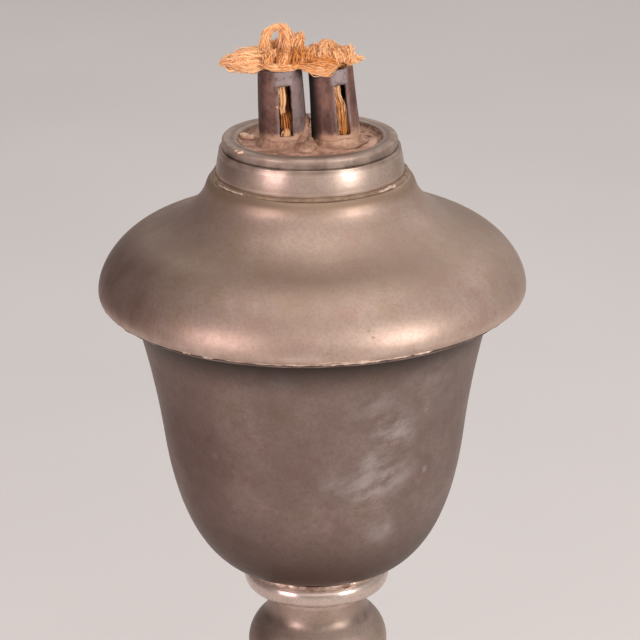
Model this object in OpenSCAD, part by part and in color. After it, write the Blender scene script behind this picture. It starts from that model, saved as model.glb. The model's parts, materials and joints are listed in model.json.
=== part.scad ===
// Pewter table lamp for whale oil: a turned foot and stem, a covered font, and a
// screw-in burner with a pair of slotted wick tubes.
// Millimetres, +Z up. The origin is on the table under the middle of the foot, and the front faces -Y.

/* [Foot] */
// Diameter of the foot
foot_d = 110; // [100:1:130]
// Height of the foot
foot_h = 30; // [27:0.5:38]
// Diameter of the foot's raised crown
foot_crown_d = 66; // [56:1:74]
// Height of the step below the crown
foot_step_h = 15; // [12:0.5:17]
// Height of the rounded rim
foot_rim_h = 7; // [5.5:0.5:9]
// Width of the flat ring that stands on the table
foot_land = 3.5; // [2.5:0.1:5]
// Wall of the foot
foot_wall = 2; // [1.2:0.1:2.4]

/* [Stem] */
// Height of the flared pedestal
pedestal_h = 25; // [20:0.5:32]
// Diameter of the pedestal's base
pedestal_base_d = 28; // [25:0.5:34]
// Diameter of the pedestal's neck
pedestal_neck_d = 15.6; // [13:0.2:18]
// Diameter of the knop between pedestal and baluster
knop_d = 22; // [19:0.2:25]
// Height of the knop
knop_h = 3; // [2.4:0.1:4.5]
// Height of the baluster
baluster_h = 46.6; // [40:0.1:58]
// Diameter of the baluster's bulb
bulb_d = 25.8; // [22:0.2:29]
// Distance from the baluster's top to the widest part of its bulb
bulb_drop = 11; // [9.5:0.1:12.6]
// Diameter of the baluster's waist
waist_d = 12.8; // [11:0.2:16]
// Height of the waist above the baluster's foot
waist_h = 6; // [5:0.5:10]
// Diameter where the baluster meets the ring above it
stem_neck_d = 18.4; // [16.5:0.1:20]
// Wall of the hollow stem at its thinnest
stem_wall = 2.2; // [1.4:0.1:2.8]
// Diameter of the ring under the font
ring_d = 26.7; // [25.4:0.1:29]
// Height of the ring with its neck
ring_h = 5.2; // [4.8:0.1:7]
// Height of the ring's rounded band
ring_band_h = 3.5; // [2.8:0.1:3.8]
// How far the ring's band bulges
ring_bulge = 1; // [0.7:0.05:1.5]
// Height of the groove between the ring and the font
ring_gap = 0.5; // [0.3:0.05:0.8]

/* [Font] */
// Largest diameter of the font
font_d = 76; // [72:0.5:86]
// Wall of the font
font_wall = 1.4; // [0.9:0.05:1.8]
// Height of the bell from the ring to the dome's edge
bell_h = 52.7; // [47:0.1:62]
// Diameter of the bell under its flange
bell_d = 64; // [60:0.2:66]
// Diameter of the bell at its waist
bell_waist_d = 54.4; // [50:0.2:58]
// Height of the bell's waist above the ring
bell_waist_h = 27.1; // [23:0.1:32]
// Thickness of the flange that carries the dome
bell_flange_t = 0.9; // [0.6:0.05:1.4]
// Diameter of the flat under the bell that is soldered to the ring
bell_seat_d = 24.2; // [22:0.1:25]
// Height of the dome from its edge to the collar
dome_h = 21.7; // [21.2:0.1:27]
// Distance from the dome's top to its widest part
bulge_drop = 20.2; // [17.2:0.1:20.9]
// How far the dome's edge turns in under its widest part
lip_tuck = 1; // [0.4:0.1:1.8]
// How far the dome's edge stands out past the bell's flange
lip_step = 0.6; // [0.3:0.05:0.8]
// Diameter of the dome's neck
neck_d = 34.6; // [33.8:0.1:36.6]
// Diameter where the neck's hollow curve turns into the shoulder
shoulder_d = 58; // [54:0.2:62]
// Distance from the dome's top to the shoulder
shoulder_drop = 9.8; // [8.4:0.1:11.2]
// Slope of the shoulder in degrees
shoulder_slope = 20; // [14:0.5:26]

/* [Collar] */
// Diameter of the collar at its top
collar_d = 31.8; // [30.4:0.1:32.4]
// Height of the collar above the dome
collar_h = 5.1; // [4.3:0.1:6.8]
// Step between the collar's foot and the dome's neck
collar_step = 0.8; // [0.4:0.05:1.1]
// Depth of the collar's spigot inside the dome
spigot_h = 4.9; // [3.7:0.1:6.7]
// Diameter of the collar's screw bore
screw_d = 26.6; // [24:0.1:28]

/* [Burner] */
// Diameter of the burner's flange
flange_d = 30.7; // [29.4:0.1:33]
// Thickness of the flange
flange_t = 1.8; // [1.4:0.1:2.6]
// Length of the screw skirt under the flange
skirt_h = 7.4; // [6:0.1:9]
// Wall of the screw skirt
skirt_wall = 1.5; // [1:0.1:2]
// Radial clearance between the skirt and the collar, and round the plate
screw_clearance = 0.08; // [0.05:0.01:0.1]
// Width of the ledge that carries the burner plate
plate_ledge = 0.8; // [0.5:0.1:1]
// Thickness of the burner plate
plate_t = 0.8; // [0.5:0.05:1]
// Diameter of the air hole in the plate
vent_d = 1.3; // [0.8:0.1:1.8]
// Distance of the air hole's centre from the plate's edge
vent_inset = 1.9; // [1.5:0.1:2.6]
// Direction of the air hole, in degrees behind the right-hand side
vent_turn = 30; // [20:1:60]

/* [Wick tubes] */
// Outside diameter of a tube at the plate
tube_d = 8.6; // [7.6:0.1:9]
// Outside diameter of a tube at its mouth
mouth_d = 7.8; // [7.2:0.1:8.4]
// Sheet thickness of a tube
tube_wall = 0.45; // [0.3:0.05:0.6]
// Gap between the tubes at the plate
tube_gap = 0.75; // [0.6:0.05:1.4]
// Height of the tubes above the plate
tube_h = 13.6; // [12.4:0.1:18]
// Length of the tubes below the plate
tube_drop = 22; // [14:0.5:28]
// Lean of the left tube to the left, in degrees
lean_left = 1.6; // [0:0.1:2.4]
// Lean of the right tube to the left, in degrees
lean_right = 4.4; // [2:0.1:5]
// Width of the pick slots
slot_w = 2.4; // [1.6:0.1:3]
// Height of the pick slots
slot_h = 8.9; // [7:0.1:10]
// Height of the slots' lower ends above the plate
slot_foot = 1.9; // [1.8:0.1:3]
// Turn of the left slot to the right of the front, in degrees
slot_turn_left = 11; // [0:1:30]
// Turn of the right slot to the right of the front, in degrees
slot_turn_right = 23; // [0:1:40]
// Width of the solder at a tube's foot
fillet_w = 1.1; // [0.6:0.1:1.4]
// Height of the solder at a tube's foot
fillet_h = 1.4; // [0.8:0.1:1.7]

/* [Wicks] */
// Clearance between a wick and its tube
wick_clearance = 0.35; // [0.3:0.05:0.6]
// Height of a wick's end above the font's floor
wick_end_h = 9; // [6:0.5:20]
// Length of the frayed lock that hangs out to the left
wing_l = 9.4; // [6:0.1:11]

/* [Hidden] */
$fn = 96;

// Colours
pewter = [0.48, 0.42, 0.38];
dull_pewter = [0.38, 0.32, 0.29];
bright_pewter = [0.64, 0.58, 0.54];
solder = [0.56, 0.50, 0.46];
tinned_iron = [0.28, 0.21, 0.19];
cotton = [0.86, 0.62, 0.36];

// Heights above the table
pedestal_z = foot_h;
knop_z = pedestal_z + pedestal_h;
baluster_z = knop_z + knop_h;
ring_z = baluster_z + baluster_h;
bell_z = ring_z + ring_h;
lip_z = bell_z + bell_h;
collar_z = lip_z + dome_h;
flange_z = collar_z + collar_h;
rim_z = flange_z + flange_t;
plate_z = flange_z + plate_t;

// Radii that pieces share
foot_r = foot_d / 2;
stem_neck_r = stem_neck_d / 2;
font_r = font_d / 2;
lip_r = font_r - lip_tuck;
bell_flange_r = lip_r - lip_step;
bell_r = bell_d / 2;
seat_r = bell_seat_d / 2;
neck_r = neck_d / 2;
spigot_r = neck_r - font_wall;
collar_foot_r = neck_r - collar_step;
screw_r = screw_d / 2;
skirt_r = screw_r - screw_clearance;
skirt_bore_r = skirt_r - skirt_wall;
plate_r = skirt_bore_r + plate_ledge;
tube_r = tube_d / 2;
mouth_r = mouth_d / 2;
wick_r = mouth_r - tube_wall - wick_clearance;
wick_mouth = tube_h + wick_clearance;

// Points of a cubic curve with end points p[0] and p[3] and control points p[1] and p[2]
function curve(p, n = 10) = [
    for (i = [0:n]) let(t = i / n, u = 1 - t)
        u * u * u * p[0] + 3 * u * u * t * p[1] + 3 * u * t * t * p[2] + t * t * t * p[3]
];

// Points of an elliptical arc
function arc(centre, rx, ry, from, to, n = 8) = [
    for (i = [0:n]) let(a = from + (to - from) * i / n) centre + [rx * cos(a), ry * sin(a)]
];

// Two paths in a row, where the second starts at the first one's end
function then(a, b) = concat(a, [for (i = [1:len(b) - 1]) b[i]]);

function flip(p) = [for (i = [len(p) - 1:-1:0]) p[i]];

// Outward unit normal at point i of a path that runs down the outside
function outward(p, i) =
    let(d = p[min(i + 1, len(p) - 1)] - p[max(i - 1, 0)]) [-d.y, d.x] / norm(d);

function inset(p, wall) = [for (i = [0:len(p) - 1]) p[i] - wall * outward(p, i)];

// A path between two heights, cut square to them, as the inside of a shell
function between(p, low, high) = [
    for (i = [0:len(p) - 1])
        [p[i].x, i == 0 ? high : i == len(p) - 1 ? low : min(max(p[i].y, low), high)]
];

module turned(outline) {
    rotate_extrude() polygon(outline);
}

// Foot: crown, step, hollow curve and rounded rim
foot_eye_r = pedestal_base_d / 2 - 5;
crown_r = foot_crown_d / 2;
cove_r = crown_r + 2.5;
rim_round = 4;
cove_end = foot_r - rim_round - 1;
foot_top_r = pedestal_base_d / 2 + 1;
foot_crown = curve([
    [foot_top_r, foot_h], [foot_top_r + 0.46 * (crown_r - foot_top_r), foot_h - 0.5],
    [crown_r - 1.5, foot_step_h + 0.68 * (foot_h - foot_step_h)], [crown_r, foot_step_h + 1.5]
]);
foot_cove = curve([
    [cove_r, foot_step_h], [cove_r + 1, foot_rim_h + 0.35 * (foot_step_h - foot_rim_h)],
    [cove_end - 0.41 * (cove_end - cove_r), foot_rim_h + 0.05 * (foot_step_h - foot_rim_h)],
    [cove_end, foot_rim_h]
]);
foot_outside = concat(foot_crown, [[crown_r, foot_step_h]], foot_cove);
foot_inside = inset(foot_outside, foot_wall);

module foot() {
    color(pewter) turned(concat(
        [[foot_eye_r, foot_h]],
        foot_outside,
        arc([foot_r - rim_round, foot_rim_h - rim_round], rim_round, rim_round, 90, 0),
        [[foot_r, 0.6], [foot_r - 0.6, 0], [foot_r - foot_land, 0],
         [foot_r - foot_land, foot_rim_h - foot_wall - 0.5]],
        flip(foot_inside),
        [[foot_eye_r, foot_h - foot_wall]]
    ));
}

// Bead in the corner between the foot's top and the pedestal's base
foot_bead = 0.7;

module foot_solder() {
    base_r = pedestal_base_d / 2;
    color(solder) turned(concat(
        [[base_r, pedestal_z]],
        arc([base_r, pedestal_z], foot_bead, foot_bead, 0, 90)
    ));
}

// Pedestal: a hollow trumpet from the foot to the knop
base_band = 1.2;
pedestal_outside = then(
    curve([
        [pedestal_neck_d / 2 + 0.8, knop_z], [pedestal_neck_d / 2 - 1, knop_z - 0.3 * pedestal_h],
        [pedestal_neck_d / 2 + 0.6, pedestal_z + 0.3 * pedestal_h],
        [pedestal_base_d / 2, pedestal_z + base_band]
    ]),
    [[pedestal_base_d / 2, pedestal_z + base_band], [pedestal_base_d / 2, pedestal_z]]
);

module stem_pedestal() {
    color(pewter) turned(concat(
        pedestal_outside,
        flip(between(inset(pedestal_outside, stem_wall), pedestal_z, knop_z))
    ));
}

module stem_knop() {
    edge = knop_h / 2;
    color(bright_pewter) turned(concat(
        [[0, knop_z + knop_h]],
        arc([knop_d / 2 - edge, knop_z + edge], edge, edge, 90, -90, 12),
        [[0, knop_z]]
    ));
}

// Baluster: a neck that swells into a bulb, a waist, and a small flare on the knop
bulb_r = bulb_d / 2;
bulb_z = ring_z - bulb_drop;
bulb_half = 6.85;
bulb_core_r = bulb_r / 2;
bulb_start = 50;
bulb_top = [
    bulb_core_r + (bulb_r - bulb_core_r) * cos(bulb_start), bulb_z + bulb_half * sin(bulb_start)
];
bulb_slope = [(bulb_r - bulb_core_r) * sin(bulb_start), -bulb_half * cos(bulb_start)];
waist_z = baluster_z + waist_h;
flare_r = waist_d / 2 + 2.2;
baluster_outside = concat(
    then(
        curve([
            [stem_neck_r, ring_z], [stem_neck_r, ring_z - 0.5 * (ring_z - bulb_top.y)],
            bulb_top - 0.33 * bulb_slope, bulb_top
        ]),
        then(
            arc([bulb_core_r, bulb_z], bulb_r - bulb_core_r, bulb_half, bulb_start, 0, 8),
            curve([
                [bulb_r, bulb_z], [bulb_r, bulb_z - 0.3 * (bulb_z - waist_z)],
                [waist_d / 2, waist_z + 0.45 * (bulb_z - waist_z)], [waist_d / 2, waist_z]
            ], 14)
        )
    ),
    curve([
        [waist_d / 2, waist_z - 1], [waist_d / 2, baluster_z + 2.5],
        [flare_r - 1, baluster_z + 1.2], [flare_r, baluster_z + 0.6]
    ], 6),
    [[flare_r, baluster_z]]
);

module stem_baluster() {
    bore_r = waist_d / 2 - stem_wall;
    color(pewter) turned(concat(baluster_outside, [[bore_r, baluster_z], [bore_r, ring_z]]));
}

// Ring: a rounded band under the bell, hollowed below down to the stem
ring_half = ring_band_h / 2;
ring_middle = [ring_d / 2 - ring_bulge, bell_z - ring_gap - ring_half];
ring_outside = concat(
    [[seat_r, bell_z]],
    arc(ring_middle, ring_bulge, ring_half, 65, -65, 12),
    curve([
        ring_middle - [0.3, ring_half], [stem_neck_r + 2, ring_middle.y - ring_half],
        [stem_neck_r + 0.3, ring_middle.y - ring_half], [stem_neck_r, ring_z]
    ], 5)
);

module stem_ring() {
    color(bright_pewter) turned(concat([[0, bell_z]], ring_outside, [[0, ring_z]]));
}

// Bell: a flange under the dome, a wall that draws in, and a round bottom
flange_edge = 0.4;
flange_fillet = 1;
bell_foot_r = seat_r + 2.3;
bell_foot_z = bell_z + 1.2;
bell_flange_z = lip_z - bell_flange_t;
bell_top_z = bell_flange_z - flange_fillet;
waist_r = bell_waist_d / 2;
bell_waist_z = bell_z + bell_waist_h;
bell_side = then(
    curve([
        [bell_r, bell_top_z],
        [bell_r - 0.46 * (bell_r - waist_r), bell_top_z - 0.33 * (bell_top_z - bell_waist_z)],
        [waist_r + 0.95, bell_waist_z + 0.33 * (bell_top_z - bell_waist_z)], [waist_r, bell_waist_z]
    ]),
    curve([
        [waist_r, bell_waist_z],
        [waist_r - 1.15, bell_waist_z - 0.35 * bell_waist_h],
        [waist_r - 4.1, bell_foot_z + 3.3], [bell_foot_r, bell_foot_z]
    ], 16)
);
bell_inside = inset(bell_side, font_wall);

module font_bell() {
    top = bell_inside[0];
    last = bell_inside[len(bell_inside) - 1];
    color(dull_pewter) turned(concat(
        [[bell_flange_r, lip_z]],
        arc([bell_flange_r - flange_edge, bell_flange_z + flange_edge], flange_edge, flange_edge, 0, -90, 4),
        arc([bell_r + flange_fillet, bell_top_z], flange_fillet, flange_fillet, 90, 180, 5),
        [for (i = [1:len(bell_side) - 1]) bell_side[i]],
        [[seat_r, bell_z], [0, bell_z], [0, last.y]],
        flip(bell_inside),
        [[top.x, lip_z]]
    ));
}

// Bead in the groove between the bell's round bottom and the ring
module ring_solder() {
    low = ring_outside[1];
    high = [seat_r, bell_z] + 0.6 * [bell_foot_r - seat_r, bell_foot_z - bell_z];
    middle = [max(low.x, high.x) + 0.2, bell_z];
    color(solder) turned(concat([[seat_r, bell_z]], curve([high, middle, middle, low], 6)));
}

// Dome: a hollow neck curve, a shoulder, the bulge, and a rounded edge on the bell's flange
slope = [cos(shoulder_slope), -sin(shoulder_slope)];
shoulder = [shoulder_d / 2, collar_z - shoulder_drop];
bulge = [font_r, collar_z - bulge_drop];
dome_outside = then(
    curve([
        [neck_r, collar_z], [neck_r + 0.12 * (shoulder.x - neck_r), collar_z - 0.43 * shoulder_drop],
        shoulder - 0.43 * (shoulder.x - neck_r) * slope, shoulder
    ], 12),
    curve([
        shoulder, shoulder + 0.7 * (font_r - shoulder.x) * slope,
        bulge + [0, 0.32 * (shoulder.y - bulge.y)], bulge
    ], 16)
);
dome_inside = inset(dome_outside, font_wall);

module font_dome() {
    color(pewter) turned(concat(
        then(dome_outside, arc([lip_r, bulge.y], lip_tuck, bulge.y - lip_z, 0, -90, 6)),
        [[lip_r - font_wall, lip_z]],
        flip([for (i = [1:len(dome_inside) - 1]) dome_inside[i]]),
        [[spigot_r, collar_z - 0.4], [spigot_r, collar_z]]
    ));
}

// Solder along the seam, in the step between the dome's edge and the bell's flange
module font_seam_solder() {
    color(solder) turned(concat(
        [[bell_flange_r, lip_z]],
        curve([
            [lip_r, lip_z], [lip_r + 0.1, lip_z - 0.45 * bell_flange_t],
            [bell_flange_r + 0.3, lip_z - 0.55 * bell_flange_t], [bell_flange_r, bell_flange_z + flange_edge]
        ], 6)
    ));
}

// Collar: a band that flares a little to its foot on the dome's edge, with a spigot inside the neck
foot_band = 0.7;

module neck_collar() {
    flare = collar_foot_r - collar_d / 2;
    relief_r = screw_r + 1.2;
    relief_z = flange_z - skirt_h - 0.8;
    color(bright_pewter) turned(concat(
        curve([
            [collar_d / 2, flange_z], [collar_d / 2 + 0.2 * flare, flange_z - 0.35 * collar_h],
            [collar_d / 2 + 0.65 * flare, collar_z + 0.4 * collar_h], [collar_foot_r, collar_z + foot_band]
        ]),
        [[collar_foot_r, collar_z], [spigot_r, collar_z], [spigot_r, collar_z - spigot_h],
         [relief_r, collar_z - spigot_h], [relief_r, relief_z],
         [screw_r, relief_z], [screw_r, flange_z]]
    ));
}

// Bead between the collar's foot and the dome's edge
module neck_solder() {
    color(solder) turned(concat(
        [[collar_foot_r, collar_z]],
        curve([
            [neck_r, collar_z], [neck_r + 0.15, collar_z + 0.45 * foot_band],
            [neck_r - 0.1, collar_z + foot_band], [collar_foot_r, collar_z + 0.9 * foot_band]
        ], 6)
    ));
}

// Screw ring: the flange with its raised rim, the ledge for the plate, and the skirt in the collar
rim_round_r = 0.5;

module burner_screw_ring() {
    flange_r = flange_d / 2;
    recess_r = plate_r + screw_clearance;
    skirt_z = flange_z - skirt_h;
    color(pewter) turned(concat(
        arc([flange_r - rim_round_r, rim_z - rim_round_r], rim_round_r, rim_round_r, 90, 0, 5),
        [[flange_r, flange_z], [skirt_r, flange_z], [skirt_r, skirt_z + 0.5],
         [skirt_r - 0.5, skirt_z], [skirt_bore_r, skirt_z], [skirt_bore_r, flange_z],
         [recess_r, flange_z]],
        arc([recess_r + rim_round_r, rim_z - rim_round_r], rim_round_r, rim_round_r, 180, 90, 5)
    ));
}

// Frame of a tube: its foot at the plate's top, its axis leaning to the left
module at_tube(side) {
    pitch = tube_d + tube_gap;
    translate([side * pitch / 2, 0, plate_z]) rotate([0, -(side < 0 ? lean_left : lean_right), 0]) children();
}

// Solid outside of a tube, straight below the plate and tapered above it
module tube_outside() {
    turned([[0, -tube_drop], [tube_r, -tube_drop], [tube_r, 0], [mouth_r, tube_h], [0, tube_h]]);
}

module burner_plate() {
    vent_r = plate_r - vent_inset;
    color(tinned_iron) difference() {
        translate([0, 0, flange_z]) cylinder(r = plate_r, h = plate_t);
        for (side = [-1, 1]) at_tube(side) translate([0, 0, -tube_drop]) cylinder(r = tube_r, h = 2 * tube_drop);
        rotate(vent_turn) translate([vent_r, 0, flange_z - 1]) cylinder(d = vent_d, h = plate_t + 2);
    }
}

// Fillet between the plate and the raised rim
module plate_solder() {
    height = min(rim_z - plate_z - 0.2, 0.7);
    color(solder) turned(concat(
        [[plate_r, plate_z]],
        curve([
            [plate_r, plate_z + height], [plate_r - 0.2, plate_z + 0.3 * height],
            [plate_r - 0.4, plate_z + 0.1], [plate_r - 0.9, plate_z]
        ], 5)
    ));
}

// Solder at the tubes' feet: a fillet round each, a mound between them, and a ridge up the left tube
mound_r = 2.6;
mound_h = 2.3;
ridge_r = 0.9;
ridge_h = 5.6;
ridge_turn = -36;

module tube_solder() {
    color(solder) difference() {
        union() {
            for (side = [-1, 1]) at_tube(side) translate([0, 0, -fillet_h])
                cylinder(r1 = tube_r + 2 * fillet_w, r2 = tube_r, h = 2 * fillet_h);
            translate([0, -0.7 * tube_r, plate_z]) cylinder(r1 = mound_r, r2 = 0.5, h = mound_h);
            at_tube(-1) rotate(ridge_turn) translate([tube_r - 0.2, 0, 0.4])
                cylinder(r1 = ridge_r, r2 = 0.35, h = ridge_h);
        }
        for (side = [-1, 1]) at_tube(side) tube_outside();
        translate([0, 0, plate_z - plate_r]) cylinder(r = 2 * plate_r, h = plate_r);
    }
}

module wick_tube(side, slot_turn) {
    color(tinned_iron) at_tube(side) difference() {
        turned([
            [tube_r - tube_wall, -tube_drop], [tube_r, -tube_drop], [tube_r, 0], [mouth_r, tube_h],
            [mouth_r - tube_wall, tube_h], [tube_r - tube_wall, 0]
        ]);
        rotate(slot_turn) translate([-slot_w / 2, -tube_r - 1, slot_foot]) cube([slot_w, tube_r, slot_h]);
    }
}

module wick_tube_left() { wick_tube(-1, slot_turn_left); }
module wick_tube_right() { wick_tube(1, slot_turn_right); }

// Frayed ends: places, lengths and girths over the tubes' mouths are in wick radii

// A lock of cotton: a spindle that leaves the wick at x and up, tilted to the right from upright
module lock(x, up, tilt, length, girth) {
    translate([x * wick_r, 0, wick_mouth + up * wick_r]) rotate([0, tilt, 0]) turned(wick_r * curve([
        [0, 0], [girth / 0.75, 0.05 * length], [girth / 0.75, 0.55 * length], [0, length]
    ]));
}

// The tail and core of a wick with the swollen crown over the tube's mouth
module wick_core(side, crown_girth, crown_rise) {
    lean = side < 0 ? lean_left : lean_right;
    tail = (plate_z - bell_z - font_wall - wick_end_h) / cos(lean);
    crown_r = crown_girth * wick_r;
    crown_h = crown_rise * wick_r;
    turned(concat(
        [[0, -tail], [0.75 * wick_r, -tail], [wick_r, -tail + 0.25 * wick_r]],
        curve([
            [wick_r, wick_mouth], [1.35 * crown_r, wick_mouth],
            [1.25 * crown_r, tube_h + 0.9 * crown_h], [0, tube_h + crown_h]
        ])
    ));
}

// The left wick: a wing that hangs out to the left, a spike to the right, and an open loop on top
module wick_left() {
    loop_r = 0.435 * wick_r;
    strand_r = 0.194 * wick_r;
    color(cotton) at_tube(-1) {
        wick_core(-1, 1.16, 1.55);
        lock(-0.48, 0.68, -97, wing_l / wick_r, 0.565);
        lock(0.61, 0.77, 33, 1.29, 0.32);
        translate([-0.03 * wick_r, 0, wick_mouth + 1.61 * wick_r]) rotate([90, 0, 0])
            rotate_extrude() translate([loop_r, 0]) circle(strand_r);
    }
}

// The right wick: a short peak and two locks that lean out to the right
module wick_right() {
    color(cotton) at_tube(1) {
        wick_core(1, 1.065, 1.355);
        lock(-0.19, 0.45, 6, 0.97, 0.484);
        lock(0.387, 0.355, 48, 1, 0.45);
        lock(0.484, 0.29, 86, 1.355, 0.226);
    }
}

foot();
foot_solder();
stem_pedestal();
stem_knop();
stem_baluster();
stem_ring();
ring_solder();
font_bell();
font_seam_solder();
font_dome();
neck_solder();
neck_collar();
burner_screw_ring();
burner_plate();
plate_solder();
tube_solder();
wick_tube_left();
wick_tube_right();
wick_left();
wick_right();
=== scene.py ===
"""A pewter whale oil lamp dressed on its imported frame. Metres, +Z up, the front faces -Y."""
import json
import math
import random

import bpy
import numpy as np
from mathutils import Matrix, Vector


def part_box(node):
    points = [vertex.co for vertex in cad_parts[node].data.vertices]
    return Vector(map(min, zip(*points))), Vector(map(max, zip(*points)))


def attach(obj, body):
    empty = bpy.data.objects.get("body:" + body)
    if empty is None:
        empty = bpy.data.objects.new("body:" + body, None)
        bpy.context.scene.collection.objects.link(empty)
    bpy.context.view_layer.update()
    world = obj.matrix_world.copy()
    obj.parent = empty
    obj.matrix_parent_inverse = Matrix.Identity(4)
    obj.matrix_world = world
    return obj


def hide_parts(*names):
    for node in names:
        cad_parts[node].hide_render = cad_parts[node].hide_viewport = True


MM = 0.001
TAU = 2 * math.pi
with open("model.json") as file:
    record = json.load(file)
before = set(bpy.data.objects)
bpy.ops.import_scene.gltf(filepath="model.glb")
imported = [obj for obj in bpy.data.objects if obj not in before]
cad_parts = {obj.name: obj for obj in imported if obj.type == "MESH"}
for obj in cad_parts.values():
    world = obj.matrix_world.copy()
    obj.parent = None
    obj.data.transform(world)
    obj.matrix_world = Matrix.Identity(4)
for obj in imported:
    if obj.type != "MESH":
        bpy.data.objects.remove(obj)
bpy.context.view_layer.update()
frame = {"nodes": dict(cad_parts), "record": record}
RIM_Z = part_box("burner_screw_ring")[1].z

# Heights of the bell's foot, the dome's lip and neck, the collar's top and the burner's floor, in mm
BELL_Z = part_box("font_bell")[0].z / MM
LIP_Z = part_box("font_dome")[0].z / MM
NECK_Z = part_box("font_dome")[1].z / MM
FLANGE_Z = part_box("neck_collar")[1].z / MM
PLATE_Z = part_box("burner_plate")[1].z / MM

# Camera: a close view from a little above, as the photograph was taken, in metres, degrees and pixels
CAMERA_DISTANCE = 0.420
CAMERA_ABOVE_RIM = 0.11888
CAMERA_SIDE = 0.0013
CAMERA_PITCH = 20.035
CAMERA_ROLL = -0.85
FOCAL_PX = 2497
IMAGE_PX = 640
SENSOR_MM = 36


def add_object(name, data):
    made = bpy.data.objects.new(name, data)
    bpy.context.scene.collection.objects.link(made)
    return made


def make_camera():
    data = bpy.data.cameras.new("camera")
    data.sensor_width = SENSOR_MM
    data.lens = SENSOR_MM * FOCAL_PX / IMAGE_PX
    data.clip_start = 0.01
    camera = add_object("camera", data)
    tilt = Matrix.Rotation(math.radians(90 - CAMERA_PITCH), 4, "X")
    roll = Matrix.Rotation(math.radians(CAMERA_ROLL), 4, "Z")
    place = Matrix.Translation((CAMERA_SIDE, -CAMERA_DISTANCE, RIM_Z + CAMERA_ABOVE_RIM))
    camera.matrix_world = place @ tilt @ roll
    bpy.context.scene.camera = camera


# Shader helpers


class Nodes:
    """A node tree, built one node at a time."""

    def __init__(self, owner):
        owner.use_nodes = True
        self.tree = owner.node_tree

    def add(self, kind, inputs=None, **settings):
        made = self.tree.nodes.new(kind)
        for key, value in settings.items():
            setattr(made, key, value)
        for key, value in (inputs or {}).items():
            self.put(made.inputs[key], value)
        return made

    def put(self, socket, value):
        if isinstance(value, bpy.types.NodeSocket):
            self.tree.links.new(value, socket)
        else:
            socket.default_value = value


class Shader(Nodes):
    """A material whose base colour is laid on coat by coat."""

    def __init__(self, name):
        self.material = bpy.data.materials.new(name)
        super().__init__(self.material)
        self.surface = self.tree.nodes["Principled BSDF"]
        self.place = self.add("ShaderNodeTexCoord").outputs["Object"]

    def set(self, **values):
        for key, value in values.items():
            self.put(self.surface.inputs[key.replace("_", " ")], value)

    def math(self, operation, a, b=0.0):
        return self.add("ShaderNodeMath", {0: a, 1: b}, operation=operation).outputs[0]

    def product(self, a, b):
        return self.math("MULTIPLY", a, b)

    def ramp(self, value, low, high, to_low=0.0, to_high=1.0):
        limits = {"Value": value, "From Min": low, "From Max": high, "To Min": to_low, "To Max": to_high}
        return self.add("ShaderNodeMapRange", limits, interpolation_type="SMOOTHSTEP").outputs[0]

    def stretched(self, scale, place=None):
        factors = {0: place or self.place, 1: scale}
        return self.add("ShaderNodeVectorMath", factors, operation="MULTIPLY").outputs[0]

    def noise(self, scale, detail, roughness=0.55, vector=None):
        settings = {"Vector": vector or self.place, "Scale": scale, "Detail": detail, "Roughness": roughness}
        return self.add("ShaderNodeTexNoise", settings).outputs["Fac"]

    def mix(self, factor, a, b):
        made = self.add("ShaderNodeMix", data_type="RGBA")
        for socket, value in (("Factor_Float", factor), ("A_Color", a), ("B_Color", b)):
            self.put(next(s for s in made.inputs if s.identifier == socket), value)
        return next(s for s in made.outputs if s.identifier == "Result_Color")

    def paint(self, factor, colour):
        """Lay a colour over the base colour so far."""
        self.colour = self.mix(factor, self.colour, colour)

    def near(self, point, inner, outer):
        """1 within inner of a point in millimetres, falling to 0 at outer."""
        centre = [c * MM for c in point]
        gap = self.add("ShaderNodeVectorMath", {0: self.place, 1: centre}, operation="DISTANCE")
        return self.ramp(gap.outputs["Value"], inner * MM, outer * MM, 1.0, 0.0)

    def attribute(self, name):
        return self.add("ShaderNodeAttribute", attribute_name=name).outputs["Fac"]

    def bump(self, value, strength, distance):
        settings = {"Height": value, "Strength": strength, "Distance": distance}
        made = self.add("ShaderNodeBump", settings)
        self.put(self.surface.inputs["Normal"], made.outputs[0])


def rgb(red, green, blue):
    """A display colour of 0 to 255 as the linear colour that a shader takes."""
    return [((c / 255 + 0.055) / 1.055) ** 2.4 for c in (red, green, blue)] + [1.0]


def tinted(colour, red, green, blue):
    return [colour[0] * red, colour[1] * green, colour[2] * blue, 1.0]


def patina(s, light, dark, bloom, cloud, mottle):
    """Cloudy patina with fine mottling; bloom is the strength of its small pale clouds."""
    grain = s.noise(2100, 3, 0.6)
    tint = s.noise(190, 3, 0.55)
    olive = tinted(dark, 0.98, 0.96, 0.7)
    pink = tinted(dark, 1.06, 0.86, 0.88)
    deep = tinted(dark, 0.66, 0.6, 0.58)
    s.colour = s.mix(cloud, dark, light)
    s.paint(s.ramp(tint, 0.54, 0.7, 0.0, 0.4), olive)
    s.paint(s.ramp(tint, 0.46, 0.3, 0.0, 0.4), pink)
    s.paint(s.ramp(mottle, 0.4, 0.7, 0.0, 0.45), dark)
    s.paint(s.ramp(grain, 0.42, 0.66, 0.0, 0.3), deep)
    stain = s.ramp(s.noise(30, 4, 0.5), 0.5, 0.75, 0.0, 0.25)
    s.paint(stain, rgb(132, 106, 84))
    pale = s.ramp(s.noise(330, 6, 0.68), 0.48, 0.78, 0.0, bloom)
    pale = s.product(pale, s.ramp(s.noise(90, 3, 0.5), 0.4, 0.65, 0.2, 1.0))
    s.paint(pale, tinted(light, 1.4, 1.34, 1.36))
    freckle = s.ramp(s.noise(1500, 2, 0.6), 0.68, 0.76, 0.0, 0.35)
    s.paint(freckle, rgb(92, 70, 60))


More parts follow.
